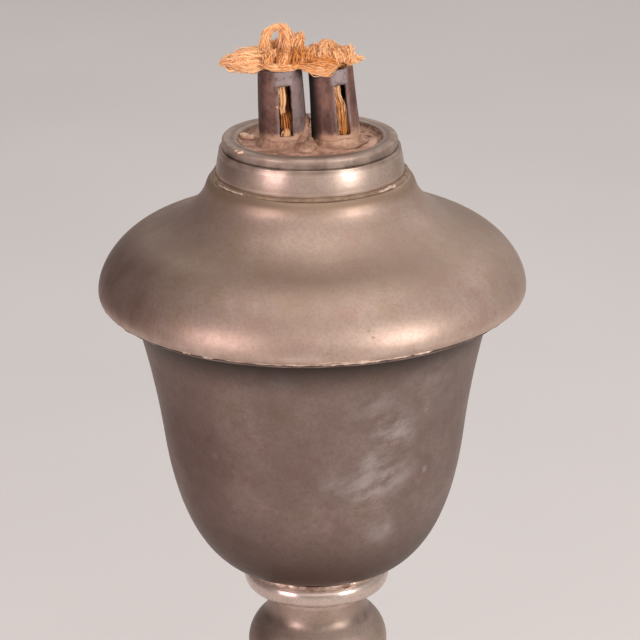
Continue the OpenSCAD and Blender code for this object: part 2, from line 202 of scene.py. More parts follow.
def soil_and_shade(s, patches, shade_and_stains, bands, cloud):
    """Pale smeared patches, soft brown patches that are mostly painted shade, and bands by height that are
    mostly painted shade and shadow.
    """
    if patches:
        leaning = s.add("ShaderNodeVectorRotate", {"Vector": s.place, "Angle": 0.35}, rotation_type="Y_AXIS")
        smear = s.noise(1.0, 7, 0.68, s.stretched((170, 170, 350), leaning.outputs[0]))
        smear = s.ramp(smear, 0.34, 0.66)
    for point, inner, outer, strength in patches:
        spread = s.product(s.near(point, inner, outer), s.product(smear, strength))
        s.paint(spread, rgb(192, 182, 178))
    # Soft brown patches: painted shade, a few partly brown tone
    for point, inner, outer, strength in shade_and_stains:
        clouded = s.ramp(cloud, 0.0, 1.0, strength, 0.7 * strength)
        spread = s.product(s.near(point, inner, outer), clouded)
        s.paint(spread, rgb(80, 47, 38))
    height = s.add("ShaderNodeSeparateXYZ", {0: s.place}).outputs["Z"]
    # Bands by height: painted shade and shadow, some of them partly grime and olive tone
    for middle, reach, band, strength in bands:
        away = s.math("ABSOLUTE", s.math("SUBTRACT", height, middle * MM))
        s.paint(s.ramp(away, 0.0, reach * MM, strength, 0.0), band)


def wear(s, grime):
    """Edges rubbed bright and grime in hollows."""
    edge = s.attribute("edge")
    uneven = s.ramp(s.noise(260, 4, 0.6), 0.3, 0.7, 0.25, 1.0)
    rubbed = s.product(s.ramp(edge, 0.12, 0.7), uneven)
    grimed = s.product(s.ramp(edge, -0.1, -0.6), uneven)
    s.paint(s.product(rubbed, 0.5), rgb(206, 182, 166))
    s.paint(s.product(grimed, grime), rgb(84, 62, 48))


def pewter(name, light, dark, roughness, patches=(), shade_and_stains=(), bands=(), grime=0.7, coat=0.3, bloom=0.1):
    """Aged and soiled pewter with fine lathe marks, and painted shade where brown patches and bands are
    given.
    """
    s = Shader(name)
    cloud = s.ramp(s.noise(60, 6, 0.6), 0.3, 0.7)
    mottle = s.noise(700, 6, 0.72)
    patina(s, light, dark, bloom, cloud, mottle)
    soil_and_shade(s, patches, shade_and_stains, bands, cloud)
    wear(s, grime)
    turning = s.noise(1.0, 3, 0.5, s.stretched((14, 14, 2600)))
    s.set(Base_Color=s.colour, Metallic=0.6, Specular_Tint=rgb(230, 222, 218))
    s.set(Coat_Weight=coat, Coat_Roughness=roughness)
    s.set(Roughness=s.ramp(s.math("ADD", mottle, s.product(cloud, -0.2)), 0.1, 0.8,
                           roughness - 0.04, roughness + 0.08))
    relief = s.math("ADD", s.product(turning, 0.4), mottle)
    s.bump(relief, 0.14, 0.0001)
    return s.material


def solder_metal(name, light, dark, metallic, roughness):
    s = Shader(name)
    lumps = s.noise(520, 5, 0.65)
    s.colour = s.mix(s.ramp(lumps, 0.36, 0.66), dark, light)
    grain = s.noise(1900, 4, 0.65)
    s.paint(s.ramp(grain, 0.5, 0.8, 0.0, 0.5), dark)
    s.set(Base_Color=s.colour, Metallic=metallic)
    s.set(Roughness=s.ramp(lumps, 0.3, 0.7, roughness + 0.12, roughness - 0.1))
    s.bump(s.math("ADD", grain, lumps), 0.4, 0.0002)
    return s.material


def tinned_iron():
    """Thin tinned sheet, rusted to a dark brown, with grey tin left where it is rubbed and partly as a
    painted reflection, and near-black soot and painted shade on its left side.
    """
    s = Shader("tinned_iron")
    cloud = s.noise(240, 6, 0.65)
    grain = s.noise(2400, 4, 0.7)
    streak = s.noise(1.0, 4, 0.6, s.stretched((1100, 1100, 160)))
    s.colour = s.mix(s.ramp(cloud, 0.35, 0.65), rgb(78, 48, 40), rgb(120, 82, 70))
    s.paint(s.ramp(streak, 0.45, 0.75, 0.0, 0.5), rgb(150, 116, 104))
    s.paint(s.ramp(grain, 0.52, 0.78, 0.0, 0.6), rgb(74, 44, 34))
    # Grey tin where rubbed, and on the left tube's right side partly a painted reflection
    worn_and_sheen = s.product(s.attribute("worn_and_sheen"), s.ramp(s.noise(700, 4, 0.6), 0.25, 0.55))
    s.paint(worn_and_sheen, rgb(150, 134, 132))
    ragged = s.ramp(s.noise(900, 4, 0.6), 0.2, 0.8, -0.3, 0.3)
    dust = s.ramp(s.math("ADD", s.attribute("dust"), ragged), 0.15, 0.85)
    s.paint(s.product(dust, 0.95), rgb(184, 144, 118))
    # Near-black soot and painted shade on a tube's left side
    s.paint(s.attribute("soot_and_shade"), rgb(18, 10, 8))
    s.set(Base_Color=s.colour, Metallic=0.25, Roughness=s.ramp(grain, 0.3, 0.7, 0.48, 0.72))
    s.bump(s.math("ADD", grain, cloud), 0.3, 0.0002)
    return s.material


# A dark spot of painted shade and a pale patch on the burner's floor
PLATE_DARK_SHADE = (10.0, 2.3, PLATE_Z)
PLATE_PALE = (12.0, -1.5, PLATE_Z)


def grimy_plate():
    s = Shader("grimy_plate")
    cloud = s.noise(420, 6, 0.65)
    s.colour = s.mix(s.ramp(cloud, 0.36, 0.62), rgb(150, 106, 86), rgb(208, 162, 138))
    crust = s.ramp(s.noise(1300, 5, 0.65), 0.52, 0.68)
    s.paint(s.product(crust, 0.6), rgb(222, 186, 160))
    s.paint(s.product(s.near(PLATE_PALE, 1.0, 4.5), 0.7), rgb(230, 184, 164))
    # A dark spot of painted shade right of the tubes
    s.paint(s.product(s.near(PLATE_DARK_SHADE, 0.4, 1.5), 0.9), rgb(84, 44, 30))
    s.set(Base_Color=s.colour, Metallic=0.15, Roughness=0.75)
    s.bump(s.math("ADD", cloud, crust), 0.45, 0.0003)
    return s.material


def cotton():
    """Oil-stained cotton yarn: each strand has its own tone, darker towards its root."""
    s = Shader("cotton")
    tone = s.math("ADD", s.attribute("tone"), s.ramp(s.noise(700, 3, 0.6), 0.3, 0.7, -0.1, 0.1))
    s.colour = s.mix(s.ramp(tone, 0.0, 0.4), rgb(128, 60, 16), rgb(214, 132, 50))
    s.paint(s.ramp(tone, 0.38, 0.95), rgb(248, 194, 142))
    s.set(Base_Color=s.colour, Roughness=0.9, Sheen_Weight=0.25, Sheen_Roughness=0.5)
    s.bump(s.noise(5200, 3, 0.6), 0.3, 0.0001)
    return s.material


def pale_floor():
    s = Shader("pale_floor")
    s.set(Base_Color=s.mix(s.ramp(s.noise(3, 3), 0.3, 0.7), rgb(222, 214, 210), rgb(228, 220, 216)))
    s.set(Roughness=0.9)
    return s.material


# Stage: a pale floor and soft lights
FLOOR_HALF = 6.0
WORLD_LEFT, WORLD_RIGHT = 0.1, 0.56
WORLD_COLOUR = (0.93, 0.94, 0.96, 1)
# Each light: azimuth and elevation in degrees, distance and size in metres, power, colour, spread in degrees
LIGHTS = [
    ("key", 48, 14, 1.2, (0.22, 0.42), 2.0, (1.0, 1.0, 1.0), 90),
    ("fill", -46, 10, 1.2, (0.42, 0.5), 1.75, (1.0, 0.88, 0.91), 90),
    ("front", 10, 30, 1.4, (1.7, 0.5), 1.1, (1.0, 0.97, 0.95), 100),
    ("overhead", 30, 80, 1.2, (1.4, 1.0), 6.0, (1.0, 0.98, 0.96), 180),
    ("back", 165, 38, 1.4, (2.2, 0.4), 4.0, (1.0, 0.98, 0.96), 180),
]


def area_light(name, azimuth, elevation, distance, size, power, colour, spread):
    data = bpy.data.lights.new(name, "AREA")
    data.shape = "RECTANGLE"
    data.size, data.size_y = size
    data.energy = power
    data.color = colour
    data.spread = math.radians(spread)
    light = add_object(name, data)
    a, e = math.radians(azimuth), math.radians(elevation)
    away = Vector((math.sin(a) * math.cos(e), -math.cos(a) * math.cos(e), math.sin(e)))
    target = Vector((0, 0, 0.75 * RIM_Z))
    light.location = target + away * distance
    light.rotation_euler = away.to_track_quat("Z", "Y").to_euler()


def studio_world():
    """Soft light from all round, dimmer on the left."""
    world = bpy.data.worlds.new("studio")
    nodes = Nodes(world)
    place = nodes.add("ShaderNodeTexCoord").outputs["Generated"]
    right = nodes.add("ShaderNodeSeparateXYZ", {0: place}).outputs["X"]
    limits = {"Value": right, "From Min": -1.0, "To Min": WORLD_LEFT, "To Max": WORLD_RIGHT}
    background = nodes.tree.nodes["Background"]
    nodes.put(background.inputs["Strength"], nodes.add("ShaderNodeMapRange", limits).outputs[0])
    nodes.put(background.inputs["Color"], WORLD_COLOUR)
    return world


def make_stage():
    h = FLOOR_HALF
    mesh = bpy.data.meshes.new("floor")
    mesh.from_pydata([(-h, -h, 0), (h, -h, 0), (h, h, 0), (-h, h, 0)], [], [(0, 1, 2, 3)])
    mesh.materials.append(pale_floor())
    floor = add_object("floor", mesh)
    bpy.context.scene.world = studio_world()
    for light in LIGHTS:
        area_light(*light)
    bpy.context.scene.view_settings.view_transform = "Standard"


# Turned pieces: the section of a node, smoothed and spun at a finer step
SAME_POINT = 2e-6
TINY = 1e-12
# A corner is a turn of more than this, cut by a length or by a share of a short side
CORNER_DEG = 24
CORNER_CUT = 0.14 * MM
CORNER_SHARE = 0.3
# An edge counts in full where the section turns this far within a window
FULL_EDGE_DEG = 80
EDGE_WINDOW = 1.1 * MM


def outline(node):
    """The (r, z) points round a turned node's section, in order, with the metal on the left."""
    mesh = frame["nodes"][node].data
    co = np.array([v.co for v in mesh.vertices])
    rz = np.c_[np.hypot(co[:, 0], co[:, 1]), co[:, 2]]
    rings, ring_of = np.empty((0, 2)), []
    for p in rz:
        gaps = np.abs(rings - p).max(1)
        if gaps.min(initial=1.0) > SAME_POINT:
            rings = np.vstack([rings, p])
            gaps = np.append(gaps, 0.0)
        ring_of.append(int(gaps.argmin()))
    links = {i: set() for i in range(len(rings))}
    for edge in mesh.edges:
        a, b = (ring_of[v] for v in edge.vertices)
        if a != b:
            links[a].add(b)
            links[b].add(a)
    path = [next((i for i in links if len(links[i]) == 1), 0)]
    while True:
        ahead = [i for i in links[path[-1]] if i not in path]
        if not ahead:
            break
        path.append(ahead[0])
    points = rings[path]
    r, z = points[:, 0], points[:, 1]
    if np.sum(r * np.roll(z, -1) - np.roll(r, -1) * z) < 0:
        points = points[::-1]
    return points


def smooth_outline(points, step):
    """The section with rounded corners and smooth runs between them, at about the given step."""
    closed = points[:, 0].min() > SAME_POINT
    count = len(points)
    ahead = np.roll(points, -1, 0) - points
    length = np.linalg.norm(ahead, axis=1)
    unit = ahead / length[:, None]
    turn = np.arccos(np.clip((unit * np.roll(unit, 1, 0)).sum(1), -1, 1))
    corner = np.degrees(turn) > CORNER_DEG
    rounded = corner.copy()
    if not closed:
        corner[[0, -1]] = True
        rounded[[0, -1]] = False
    made = []
    for i in range(count if closed else count - 1):
        j = (i + 1) % count
        p0, p1, p2, p3 = points[i - 1], points[i], points[j], points[(i + 2) % count]
        cut = min(CORNER_CUT, CORNER_SHARE * length[i])
        start, end = p1.copy(), p2.copy()
        if rounded[i]:
            start = p1 + unit[i] * cut
            before = p1 - unit[i - 1] * min(CORNER_CUT, CORNER_SHARE * length[i - 1])
            made += [0.25 * before + 0.5 * p1 + 0.25 * start]
        if rounded[j]:
            end = p2 - unit[i] * cut
        slope_in = unit[i] if corner[i] else (p2 - p0) / np.linalg.norm(p2 - p0)
        slope_out = unit[i] if corner[j] else (p3 - p1) / np.linalg.norm(p3 - p1)
        reach = np.linalg.norm(end - start) / 3
        pieces = max(1, int(math.ceil(length[i] / step)))
        for k in range(pieces):
            t = k / pieces
            u = 1 - t
            made.append(u**3 * start + 3 * u * u * t * (start + reach * slope_in)
                        + 3 * u * t * t * (end - reach * slope_out) + t**3 * end)
        if corner[j]:
            made.append(end)
    return np.array(made), closed


def edge_values(points, closed):
    """How sharply the section bulges (above 0) or hollows (below 0) at each point."""
    values = np.zeros(len(points))
    ahead = np.roll(points, -1, 0) - points
    heading = np.unwrap(np.arctan2(ahead[:, 1], ahead[:, 0]))
    turn = np.diff(np.r_[heading[-1] - TAU if closed else heading[0], heading])
    along = np.r_[0, np.cumsum(np.linalg.norm(ahead, axis=1))[:-1]]
    for i, a in enumerate(along):
        near = np.abs(along - a) < EDGE_WINDOW
        values[i] = turn[near].sum()
    return np.clip(values / math.radians(FULL_EDGE_DEG), -1, 1)


def waves(seed, count, around, up):
    """A smooth seeded relief over angle and height, about -1 to 1."""
    rng = random.Random(seed)
    terms = [(rng.randint(1, around), rng.uniform(-up, up), rng.uniform(0, TAU)) for _ in range(count)]

    def relief(angle, z):
        total = sum(np.sin(m * angle + n * z / MM + p) for m, n, p in terms)
        return total / math.sqrt(count)

    return relief


class Shape:
    """Vertices, faces and per-vertex values, gathered piece by piece."""

    def __init__(self):
        self.verts, self.faces, self.values = [], [], {}

    def add(self, verts, faces, **values):
        first = len(self.verts)
        self.verts += [tuple(v) for v in verts]
        self.faces += [tuple(first + i for i in face) for face in faces]
        for key, value in values.items():
            self.values.setdefault(key, []).extend(np.broadcast_to(value, len(verts)))

    def finish(self, name, material, body, slot, replaces=()):
        """The piece in the scene, riding on its body."""
        mesh = bpy.data.meshes.new(name)
        mesh.from_pydata(self.verts, [], self.faces)
        mesh.validate()
        mesh.polygons.foreach_set("use_smooth", [True] * len(mesh.polygons))
        for key, values in self.values.items():
            layer = mesh.attributes.new(key, "FLOAT", "POINT")
            layer.data.foreach_set("value", np.asarray(values, np.float32))
        mesh.materials.append(material)
        piece = add_object(name, mesh)
        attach(piece, body)
        if replaces:
            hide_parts(*replaces)
        return piece


def blob(centre, size, turn, rough, seed, rows=10, columns=16):
    """A lumpy closed pebble, as (verts, faces)."""
    relief = waves(seed, 7, 4, 3.0)
    verts, faces = [(0, 0, -1.0)], []
    angle = np.arange(columns) * TAU / columns
    for i in range(1, rows):
        polar = math.pi * i / rows
        swell = 1 + rough * relief(angle, polar * MM)
        wide, up = np.sin(polar), np.full(columns, -np.cos(polar))
        ring = np.c_[wide * np.cos(angle), wide * np.sin(angle), up]
        verts += list(ring * swell[:, None])
    verts.append((0, 0, 1.0))
    for j in range(columns):
        k = (j + 1) % columns
        faces.append((0, 1 + k, 1 + j))
        for i in range(rows - 2):
            a, b = 1 + i * columns, 1 + (i + 1) * columns
            faces.append((a + j, a + k, b + k, b + j))
        top = 1 + (rows - 2) * columns
        faces.append((top + j, top + k, len(verts) - 1))
    spun = np.array(verts) * np.array(size) @ np.array(Matrix.Rotation(turn, 3, "Z")).T
    return (spun + np.array(centre)) * MM, faces


def unit_rows(vectors):
    return vectors / (np.linalg.norm(vectors, axis=1)[:, None] + TINY)


def section_normals(points):
    tangent = unit_rows(np.roll(points, -1, 0) - np.roll(points, 1, 0))
    return np.c_[tangent[:, 1], -tangent[:, 0]]


def turned(node, material, body, slot, step, segments, seed, dent=0.0, lump=0.0, swell=()):
    """A turned piece in place of its node, at a finer step, with shallow dents or lumps in it.

    Swell pairs heights with how far the outside stands out there, in mm.
    """
    points, closed = smooth_outline(outline(node), step * MM)
    edge = edge_values(points, closed)
    if swell:
        heights, pushes = np.array(sorted(swell)).T * MM
        outer = section_normals(points)[:, 0] > 0.1
        points[:, 0] += np.interp(points[:, 1], heights, pushes) * outer
    normal = section_normals(points)
    angle = np.arange(segments) * TAU / segments
    dents = waves(seed, 9, 5, 0.09)
    lumps = waves(seed + 50, 24, 70, 1.6)
    shape, rows = Shape(), []
    for p, n, e in zip(points, normal, edge):
        first = len(shape.verts)
        if p[0] < SAME_POINT:
            rows.append([first] * segments)
            shape.add([(0, 0, p[1])], [], edge=e)
            continue
        push = dent * MM * dents(angle, p[1]) + lump * MM * lumps(angle, p[1])
        r, z = p[0] + push * n[0], np.maximum(p[1] + push * n[1], 0.0)
        rows.append(range(first, first + segments))
        shape.add(np.c_[r * np.cos(angle), r * np.sin(angle), z], [], edge=e)
    for i in range(len(rows) if closed else len(rows) - 1):
        low, high = rows[i], rows[(i + 1) % len(rows)]
        for j in range(segments):
            k = (j + 1) % segments
            shape.faces.append(tuple(dict.fromkeys([low[j], low[k], high[k], high[j]])))
    shape.finish(node + "_finish", material, body, slot, [node])


def raised(points, z):
    return np.array(points) + (0, 0, z)


def round_axis(azimuth, radius, z):
    """A point in millimetres at an azimuth in degrees from the front, towards +X."""
    a = math.radians(azimuth)
    return radius * math.sin(a), -radius * math.cos(a), z


# Pale oxide on the bell: place, full and fading reach in mm, strength; the broad faint patch at the upper
# right, at (21, -22, 155), is a painted sheen
OXIDE_AND_SHEEN = [
    ((14, -24.7, 144.9), 1, 6, 0.55), ((10.4, -25.7, 140.9), 0.5, 4, 0.4), ((9.9, -25.1, 135.4), 1, 7, 0.45),
    ((14.8, -22.8, 136.9), 0.5, 5, 0.36), ((3.8, -26.9, 136.4), 0.5, 4, 0.3),
    ((11.5, -22.1, 125.5), 0.5, 4.5, 0.45), ((-12.1, -22.2, 126.5), 0.5, 5, 0.13),
    ((10.5, -27.5, 150.2), 0.5, 8, 0.22), ((21, -22, 155), 2, 12, 0.14), ((-5.4, -30.6, 157), 0.5, 4, 0.12),
    ((8, 26, 141), 1, 8, 0.4), ((-14, 23, 134), 1, 7, 0.3), ((-17.3, -21.4, 139.7), 0.1, 1.1, 0.6),
    ((-14, -22, 130.2), 0.1, 1.1, 0.5), ((19.1, -19.1, 135.9), 0.1, 1.0, 0.6),
    ((19.5, -21.6, 148.5), 0.1, 1.2, 0.5),
]

# Brown patches of painted shade on the left of font, stem and collar, where less light falls, two of them
# dimming the highlights on the bell's lower left and the collar's left; the bell's patch under the lip is
# partly painted shadow and partly brown tone, and the collar's patch on the right is brown tone: place, full
# and fading reach in mm, strength
BELL_SHADE_AND_STAINS = [((-38, -12, 140), 10, 36, 0.9), ((-17, -19, 120), 3, 15, 0.6), ((-24, -26, 160), 3, 16, 0.45)]
DOME_SHADE = [((-48, -12, 170), 9, 45, 0.8)]
STEM_SHADE = [((-16, -6, 96), 4, 15, 0.8)]
COLLAR_SHADE_AND_STAINS = [((-20, -8, 187), 3, 14, 0.75), ((-6.6, -15.5, 186), 1, 6, 0.35), ((18, -7, 187), 1, 8, 0.35)]

# The roll at the top of the dome's neck and the hollow under it: distance below the collar and how far the
# surface stands out, in mm
NECK_SWELL = [(0, 0.1), (0.3, 0.3), (0.6, 0.44), (0.9, 0.52), (1.3, 0.5), (1.9, 0.36), (2.5, 0.18), (3.2, 0),
              (4, -0.2), (5, -0.38), (6.1, -0.52), (7.1, -0.58), (8.1, -0.55), (9.1, -0.35), (10.1, -0.12),
              (11.1, 0)]

# The collar's slight barrel: height over its foot and how far the surface stands out, in mm
COLLAR_SWELL = [(0.6, 0), (1.2, 0.08), (2.0, 0.15), (2.9, 0.17), (3.8, 0.12), (4.6, 0.03), (5.0, 0)]

# Threads of solder along the font's seam and the collar's foot: first and last azimuth in degrees, height
# over the edge and girth in mm
SEAM_THREADS = [(-35.5, -32.5, 0.3, 0.3), (-30, -26, 0.0, 0.24), (-24, -15, 0.0, 0.15), (-16, -7, -0.05, 0.2),
                (-8, 3, -0.02, 0.23), (1, 11, -0.05, 0.28), (9, 18.5, 0.0, 0.27), (-1, 16, 0.45, 0.1),
                (18, 26, 0.0, 0.15), (26.5, 32, 0.12, 0.26)]
COLLAR_THREADS = [(-66, -52, 0.0, 0.2), (-54, -40, -0.05, 0.14), (42, 50, 0.0, 0.26), (48, 58, 0.1, 0.32)]
# Small bright nibs on the dome near its edge: azimuth, height over the edge and size in mm
DOME_NIBS = [(7.4, 1.1, 0.2), (8.6, 1.4, 0.16), (9.4, 1.0, 0.22), (14.6, 5.2, 0.14), (15.6, 4.3, 0.18),
             (13.2, 6.0, 0.12), (22.6, 8.2, 0.22), (23.4, 8.5, 0.14)]


# The azimuths out of the camera's sight, and the step along a thread, in degrees
FAR_SIDE = (65, 285)
THREAD_STEP = 1.3


def threads_on(threads, radius, z, seed, extra, girth):
    """Ragged threads round the axis on a turned surface, with some seeded ones on the far side."""
    rng = random.Random(seed)
    threads = list(threads)
    for _ in range(extra):
        start = rng.uniform(*FAR_SIDE)
        end = start + rng.uniform(2, 14)
        threads.append((start, end, rng.uniform(-0.1, 0.1), girth * rng.uniform(0.6, 1.2)))
    shape = Shape()
    for first, last, up, thick in threads:
        count = max(4, int((last - first) / THREAD_STEP))
        points = []
        for azimuth in np.linspace(first, last, count):
            rise = up + rng.uniform(-0.07, 0.07)
            points.append(round_axis(azimuth, radius(z + rise) + min(rise, 0.0), z + rise))
        steps = 3 * count
        ragged = rough_girth([0.25, 0.8, 1.1, 0.7, 1.0, 0.3], steps, rng.randint(0, 999))
        verts, faces = strand(smooth_line(points, steps), thick * ragged, 7)
        shape.add(verts * MM, faces, edge=0.2)
    return shape


def outside(node):
    """The largest radius of a turned node at a height, in mm, as a function."""
    points = outline(node) / MM
    ends = np.roll(points, -1, 0)

    def radius(z):
        z = min(max(z, points[:, 1].min() + 0.01), points[:, 1].max() - 0.01)
        return max(a[0] + (b[0] - a[0]) * (z - a[1]) / (b[1] - a[1])
                   for a, b in zip(points, ends) if (a[1] - z) * (b[1] - z) < 0)

    return radius


# Wick tubes: rolled sheet with a pick slot in front of each
SLOT_TURN = {"left": 11, "right": 23}
SLOT_FOOT, SLOT_TOP, SLOT_HALF = 1.9, 10.8, 1.3
SHEET = 0.45
# How far a wick rises, and its least gap inside and outside a tube's wall
WICK_TRAVEL = 8
GAP_INSIDE, GAP_OUTSIDE = 0.18, 0.2


class TubeFrame:
    """A tube's own frame in millimetres: across, back and along its axis, from the plate's top."""

    def __init__(self, side):
        mesh = frame["nodes"]["wick_tube_" + side].data
        co = np.array([v.co for v in mesh.vertices]) / MM
        joint = next(j for j in frame["record"]["behaviour"]["joints"] if j["name"] == f"wick_{side}_raise")
        self.axis = np.array(joint["axis"]) / np.linalg.norm(joint["axis"])
        self.back = np.array([0.0, 1.0, 0.0])
        self.across = np.cross(self.back, self.axis)
        along = co @ self.axis
        foot = co[along < along.min() + 0.01].mean(0)
        self.origin = foot + self.axis * (PLATE_Z - foot[2]) / self.axis[2]
        local = self.inward(co)
        reach = np.hypot(local[:, 0], local[:, 1])
        self.bottom, self.top = local[:, 2].min(), local[:, 2].max()
        self.foot_r = reach[local[:, 2] < self.bottom + 0.01].max()
        self.mouth_r = reach[local[:, 2] > self.top - 0.01].max()

    def inward(self, points):
        return (np.asarray(points) - self.origin) @ np.c_[self.across, self.back, self.axis]

    def outward(self, points):
        return np.asarray(points) @ np.array([self.across, self.back, self.axis]) + self.origin

    def radius(self, height):
        return np.interp(height, [0.0, self.top], [self.foot_r, self.mouth_r])

    def on_wall(self, azimuth, height, off):
        """Points at an azimuth from the front in radians, off millimetres outside the wall."""
        r = self.radius(height) + off
        return np.c_[r * np.sin(azimuth), -r * np.cos(azimuth), np.broadcast_to(height, np.shape(r))]


def grid_faces(rows, columns, keep=None):
    """Quads over a grid of vertices numbered row by row, closed round each row."""
    faces = []
    for i in range(rows - 1):
        for j in range(columns):
            k = (j + 1) % columns
            if keep is None or keep(i, j):
                faces.append((i * columns + j, i * columns + k, (i + 1) * columns + k, (i + 1) * columns + j))
    return faces


def soft_step(value, low, high):
    t = np.clip((np.asarray(value, float) - low) / (high - low), 0, 1)
    return t * t * (3 - 2 * t)


def tube_marks(side, tube, h, columns, angle, in_slot):
    """Where one row of a tube's wall is rubbed bright, dusty, and dark with soot and painted shade."""
    aside = np.minimum(np.abs(columns), TAU - np.abs(columns)) * tube.foot_r
    facing = np.sin(angle)
    over_slot = soft_step(h, SLOT_TOP - 0.2, SLOT_TOP + 0.3)
    worn_and_sheen = 0.95 * (1 - soft_step(aside, SLOT_HALF, SLOT_HALF + 1)) * over_slot
    worn_and_sheen = np.maximum(worn_and_sheen, 0.5 * (1 - soft_step(aside, SLOT_HALF, SLOT_HALF + 0.7)) * in_slot)
    worn_and_sheen = np.maximum(worn_and_sheen, 0.5 * soft_step(h, tube.top - 0.5, tube.top))
    # The left tube's right side: grey, partly a smear and partly a painted reflection
    if side == "left":
        worn_and_sheen = np.maximum(worn_and_sheen, 0.6 * soft_step(facing, 0.3, 0.65))
    # Each tube's left side: near-black soot and painted shade, strong on the right tube, where it faces the
    # left one, and weak on the left tube
    soot_and_shade = (0.97 if side == "right" else 0.4) * soft_step(-facing, 0.5, 0.85) * soft_step(h, 0.4, 1.8)
    return {"worn_and_sheen": worn_and_sheen, "dust": 1 - soft_step(h, 0.8, 3.8), "soot_and_shade": soot_and_shade}


def wick_tube(side, tube, seed):
    """Rolled tinned sheet with a lapped seam at the back and a ragged slot in front."""
    turn = math.radians(SLOT_TURN[side])
    half = SLOT_HALF / tube.foot_r
    slot_columns, wall_columns = 9, 96
    in_front = np.linspace(-half, half, slot_columns)
    round_back = np.linspace(half, TAU - half, wall_columns + 2)[1:-1]
    columns = np.r_[in_front, round_back]
    heights = np.r_[np.arange(tube.bottom, -0.2, 1.2), np.arange(0.0, SLOT_FOOT - 0.1, 0.3),
                    np.linspace(SLOT_FOOT, SLOT_TOP, 26), np.linspace(SLOT_TOP, tube.top, 9)[1:]]
    dents, nibble = waves(seed, 10, 6, 0.5), waves(seed + 5, 12, 40, 4.0)
    shape = Shape()
    for h in heights:
        in_slot = SLOT_FOOT - 0.01 <= h <= SLOT_TOP + 0.01
        angle = turn + columns
        lap = 0.3 * soft_step(np.cos(columns - math.pi * 0.97), math.cos(0.22), math.cos(0.12))
        off = 0.05 * dents(angle, h * MM) + lap - 0.06
        up = np.full(len(columns), h)
        if in_slot:
            edge = np.isclose(np.abs(columns), half)
            angle = angle + np.where(edge, 0.016 * nibble(angle + h, h * MM), 0.0)
            up = up + np.where(np.abs(columns) < half * 0.99, 0.09 * nibble(angle * 3, h * MM), 0.0)
        if h > tube.top - 0.01:
            up = up + 0.08 * nibble(angle, h * MM) - 0.08
            off = off - 0.1
        marks = tube_marks(side, tube, h, columns, angle, in_slot)
        shape.add(tube.outward(tube.on_wall(angle, up, off)) * MM, [], **marks)
    foot_row, top_row = (int(np.argmin(np.abs(heights - h))) for h in (SLOT_FOOT, SLOT_TOP))
    shape.faces = grid_faces(len(heights), len(columns),
                             lambda i, j: not (foot_row <= i < top_row and j < slot_columns - 1))
    node = "wick_tube_" + side
    piece = shape.finish(node + "_finish", IRON, "burner", "tinned_iron", [node])
    sheet = piece.modifiers.new("sheet", "SOLIDIFY")
    sheet.thickness = SHEET * MM
    sheet.offset = -1


def solder_skirt(tube, seed):
    """A lumpy fillet of solder from the plate up a tube's foot."""
    wide, high, columns, rows = 1.5, 1.1, 72, 12
    relief, edge = waves(seed, 14, 10, 0.8), waves(seed + 3, 8, 6, 0.4)
    angle = np.arange(columns) * TAU / columns
    reach = 1 + 0.2 * edge(angle, 0.0)
    front = 0.75 + 0.4 * soft_step(np.cos(angle), -0.2, 0.9)
    verts = []
    for i in range(rows):
        t = i / (rows - 1)
        off = wide * reach * front * (1 - t) ** 1.8 + 0.02
        up = high * reach * front * t ** 1.8 + 0.1 * relief(angle, 3 * t * MM) * math.sin(math.pi * t)
        verts += list(tube.on_wall(angle, np.maximum(up, 0.0) - 0.03, off))
    for off, up in ((-0.12, 0.7), (-0.12, -0.1)):
        verts += list(tube.on_wall(angle, np.full(columns, up), off))
    faces = grid_faces(rows + 2, columns)
    last = (rows + 1) * columns
    faces += [(last + j, last + (j + 1) % columns, (j + 1) % columns, j) for j in range(columns)]
    return tube.outward(verts) * MM, faces


def rough_girth(girth, count, seed):
    """Radii from start to end, a little uneven."""
    rng = random.Random(seed)
    even = np.interp(np.linspace(0, 1, count), np.linspace(0, 1, len(girth)), girth)
    return even * np.array([rng.uniform(0.85, 1.15) for _ in range(count)])


def solder_ridge(tube):
    """Solder that ran up the side of a tube, thickest at its upper end, as (verts, faces)."""
    height = np.array([0.2, 1.2, 2.4, 3.4, 4.2, 4.9])
    azimuth = np.radians([40, 54, 66, 74, 80, 80])
    line = smooth_line(tube.outward(tube.on_wall(azimuth, height, 0.12)), 24)
    verts, faces = strand(line, rough_girth([1.0, 0.8, 0.6, 0.55, 0.62, 0.2], 24, 37), 12)
    return verts * MM, faces


# Lumps of solder between the tubes' feet and flecks of crust on the flange: place over the floor or the rim
# and half sizes in mm, turn and seed
PUDDLE_LUMPS = [((-0.9, -4, -0.3), (2.5, 2.9, 1.3), 0.15, 35),
                ((-0.2, -2.6, -0.2), (1.3, 2.4, 1.5), 0.1, 36)]
RIM_FLECKS = [((-11.8, -9.9, -0.05), (0.6, 0.4, 0.22), 0.7, 39),
              ((-12.6, -9.0, -0.05), (0.35, 0.25, 0.15), 0.7, 40)]

# Pale crust spilt on the burner's floor: points above the floor and girth, in mm
CRUST_STREAKS = [
    ([(-13.3, 3.4, 0.4), (-12.5, 3.1, 0.25), (-11.2, 2.5, 0.2), (-9.7, 1.9, 0.05)], [0.4, 0.6, 0.7, 0.35]),
    ([(-10.9, 3.1, 0.1), (-10.1, 2.6, 0.15), (-9.5, 2.9, 0.1)], [0.3, 0.5, 0.3]),
]


# Cotton: locks of strands along given lines, in millimetres from the lamp's axis and above the rim


def smooth_line(points, count):
    """A smooth line through the points, at evenly spaced steps."""
    p = np.asarray(points, float)
    p = np.vstack([2 * p[0] - p[1], p, 2 * p[-1] - p[-2]])
    t = np.linspace(0, len(p) - 3, count)
    i = np.minimum(t.astype(int), len(p) - 4)
    u = (t - i)[:, None]
    a, b, c, d = p[i], p[i + 1], p[i + 2], p[i + 3]
    return 0.5 * (2 * b + (c - a) * u + (2 * a - 5 * b + 4 * c - d) * u**2 + (3 * b - a - 3 * c + d) * u**3)


